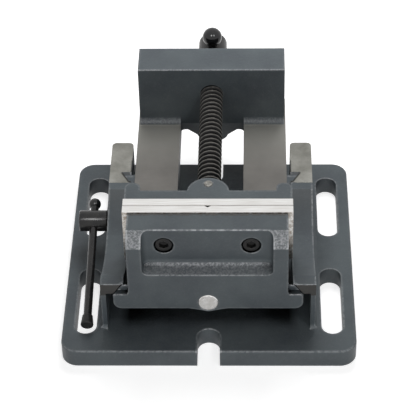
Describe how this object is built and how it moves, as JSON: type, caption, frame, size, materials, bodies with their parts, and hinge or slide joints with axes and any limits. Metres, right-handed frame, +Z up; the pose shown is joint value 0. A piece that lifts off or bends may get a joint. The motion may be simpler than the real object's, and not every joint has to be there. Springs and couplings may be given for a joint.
{
  "type": "tilting vise",
  "caption": "Tilting machine vise on a slotted base: arc dovetail cradle with a side lock, sliding jaw on flat ways, lead screw with a cross handle.",
  "frame": {"origin": "middle of the flat underside of the base plate", "axes": "+Z up from the table, +Y towards the lead screw's handle, +X to the right seen from the fixed jaw"},
  "size_m": [0.176, 0.2282, 0.0914],
  "materials": {
    "painted_iron": "satin grey-blue enamel over rough cast iron, machined bare on the ways and rims",
    "ground_steel": "bright ground hardened steel",
    "black_oxide": "black oxide finish",
    "black_plastic": "glossy black ball ends",
    "brass": "plain turned brass"
  },
  "bodies": {
    "base": {"base_casting": "painted_iron"},
    "vise_body": {"body_casting": "painted_iron", "fixed_jaw_plate": "ground_steel", "fixed_jaw_screws": "black_oxide", "guide_rod": "ground_steel", "guide_rod_set_screw": "black_oxide"},
    "sliding_jaw": {"movable_jaw": "painted_iron", "movable_jaw_plate": "ground_steel", "movable_jaw_screws": "black_oxide", "screw_retaining_pin": "ground_steel"},
    "lead_screw_body": {"lead_screw": "black_oxide"},
    "screw_handle": {"handle_bar": "black_oxide", "handle_ball_upper": "black_plastic", "handle_ball_lower": "black_plastic"},
    "lock_pad_body": {"lock_pad": "brass"},
    "lock_screw_body": {"lock_screw": "black_oxide"},
    "lock_handle": {"lock_bar": "black_oxide", "lock_bar_ball": "black_plastic", "lock_bar_flare": "black_oxide"}
  },
  "joints": [
    {"name": "vise_tilt", "type": "hinge", "parent": "base", "child": "vise_body", "pos_m": [0, -0.0185, 0.102], "axis": [1, 0, 0], "range_deg": [0, 45]},
    {"name": "jaw_slide", "type": "slide", "parent": "vise_body", "child": "sliding_jaw", "axis": [0, 1, 0], "range_m": [0, 0.098]},
    {"name": "screw_spin", "type": "hinge", "parent": "sliding_jaw", "child": "lead_screw_body", "pos_m": [0, 0, 0.0695], "axis": [0, 1, 0], "range_deg": [0, 8825]},
    {"name": "handle_slide", "type": "slide", "parent": "lead_screw_body", "child": "screw_handle", "axis": [0, 0, 1], "range_m": [0, 0.0444]},
    {"name": "lock_travel", "type": "slide", "parent": "base", "child": "lock_pad_body", "axis": [-1, 0, 0], "range_m": [0, 0.00085]},
    {"name": "lock_spin", "type": "hinge", "parent": "lock_pad_body", "child": "lock_screw_body", "pos_m": [-0.07, 0.00777, 0.03175], "axis": [-1, 0, 0], "range_deg": [0, 200]},
    {"name": "lock_bar_slide", "type": "slide", "parent": "lock_screw_body", "child": "lock_handle", "axis": [0, 0.9803, 0.1977], "range_m": [-0.0022, 0.062]}
  ],
  "couplings": [
    {"joint": "screw_spin", "follows": "jaw_slide", "rad_per_m": 1570.8},
    {"joint": "lock_travel", "follows": "lock_spin", "m_per_rad": 0.00023873}
  ]
}
